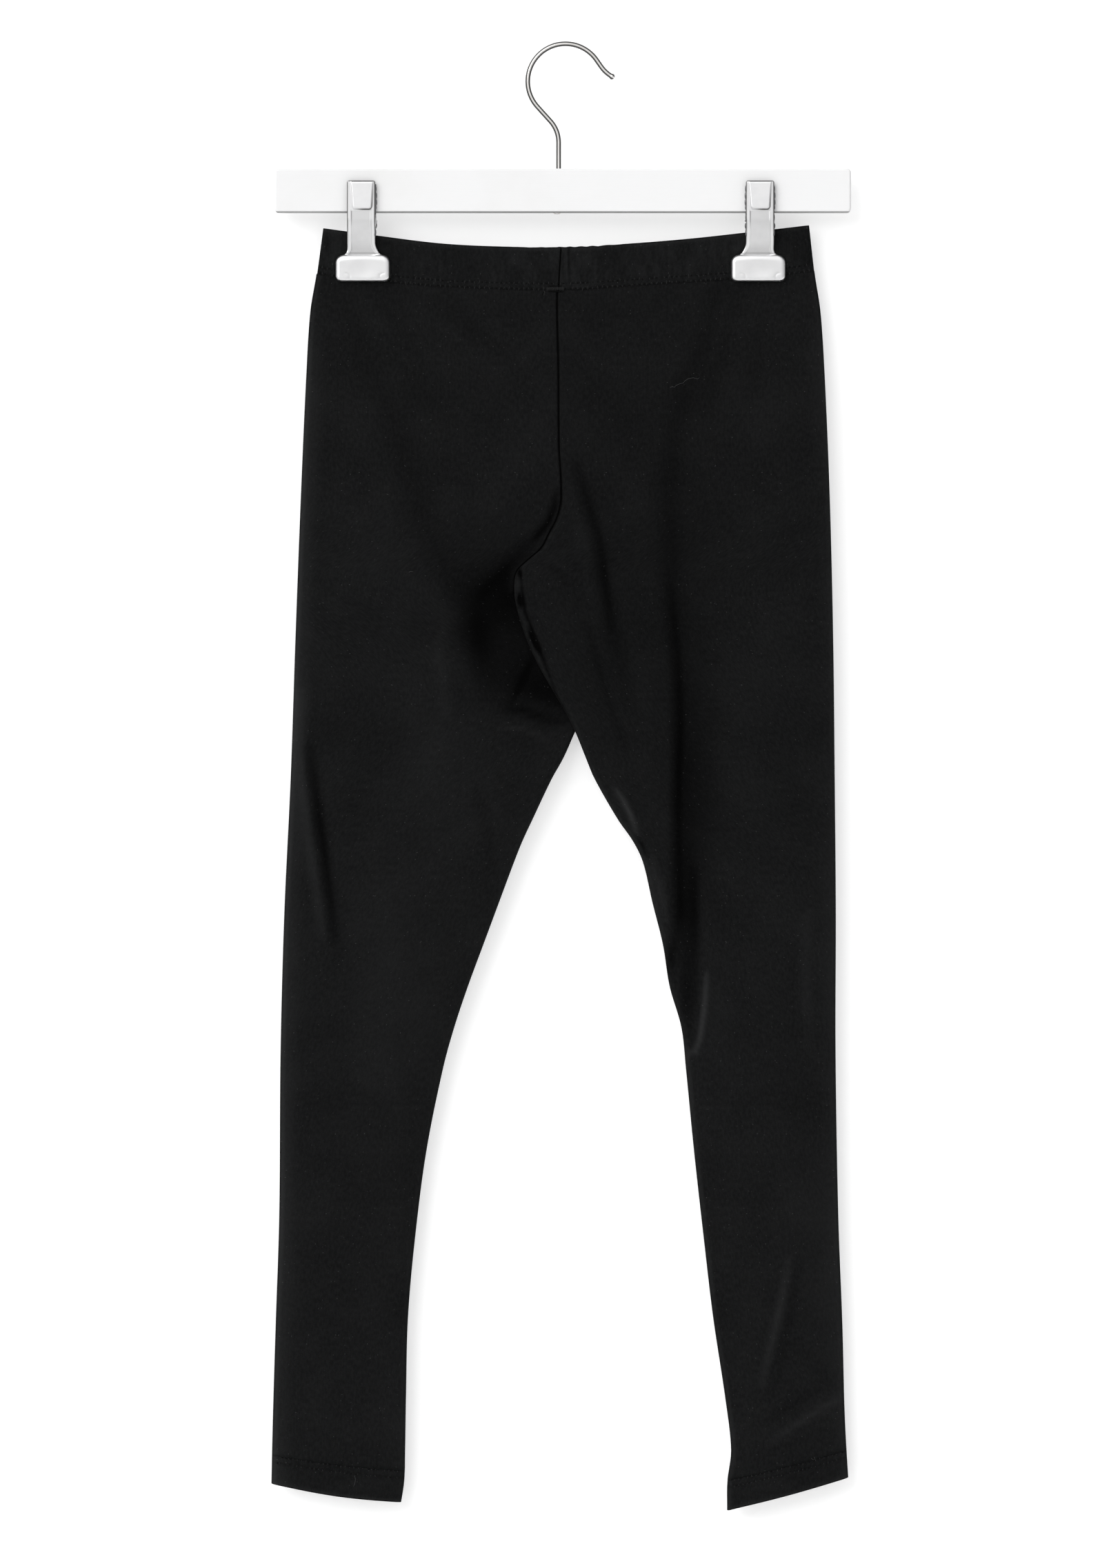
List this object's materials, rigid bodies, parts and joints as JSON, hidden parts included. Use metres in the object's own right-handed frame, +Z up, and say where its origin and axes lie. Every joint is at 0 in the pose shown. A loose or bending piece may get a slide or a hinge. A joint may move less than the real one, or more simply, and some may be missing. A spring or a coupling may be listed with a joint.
{
  "type": "leggings on a clip hanger",
  "caption": "Ankle-length jersey leggings with an elastic waistband and turned hems, hanging flat from a flat bar hanger with a wire hook and spring clips.",
  "frame": {"origin": "on the underside of the top of the hook's bow, in the middle of the wire, where a rail carries the hanger", "axes": "+Z up along the hanging length, +X to the viewer's right along the hanger bar, -Y towards the front of the leggings"},
  "size_m": [0.4223, 0.0232, 1.0705],
  "materials": {
    "jersey": "matte black cotton and elastane jersey",
    "white_paint": "white satin paint over wood",
    "bright_wire": "bright plated steel wire",
    "satin_nickel": "satin nickel-plated pressed steel"
  },
  "bodies": {
    "root": {"waistband": "jersey", "leg_left": "jersey", "leg_right": "jersey", "hem_left": "jersey", "hem_right": "jersey", "hanger_bar": "white_paint", "hook": "bright_wire", "clip_left_front_jaw": "satin_nickel", "clip_left_back_jaw": "satin_nickel", "clip_left_saddle": "satin_nickel", "clip_left_pin": "satin_nickel", "clip_right_front_jaw": "satin_nickel", "clip_right_back_jaw": "satin_nickel", "clip_right_saddle": "satin_nickel", "clip_right_pin": "satin_nickel"}
  },
  "joints": []
}
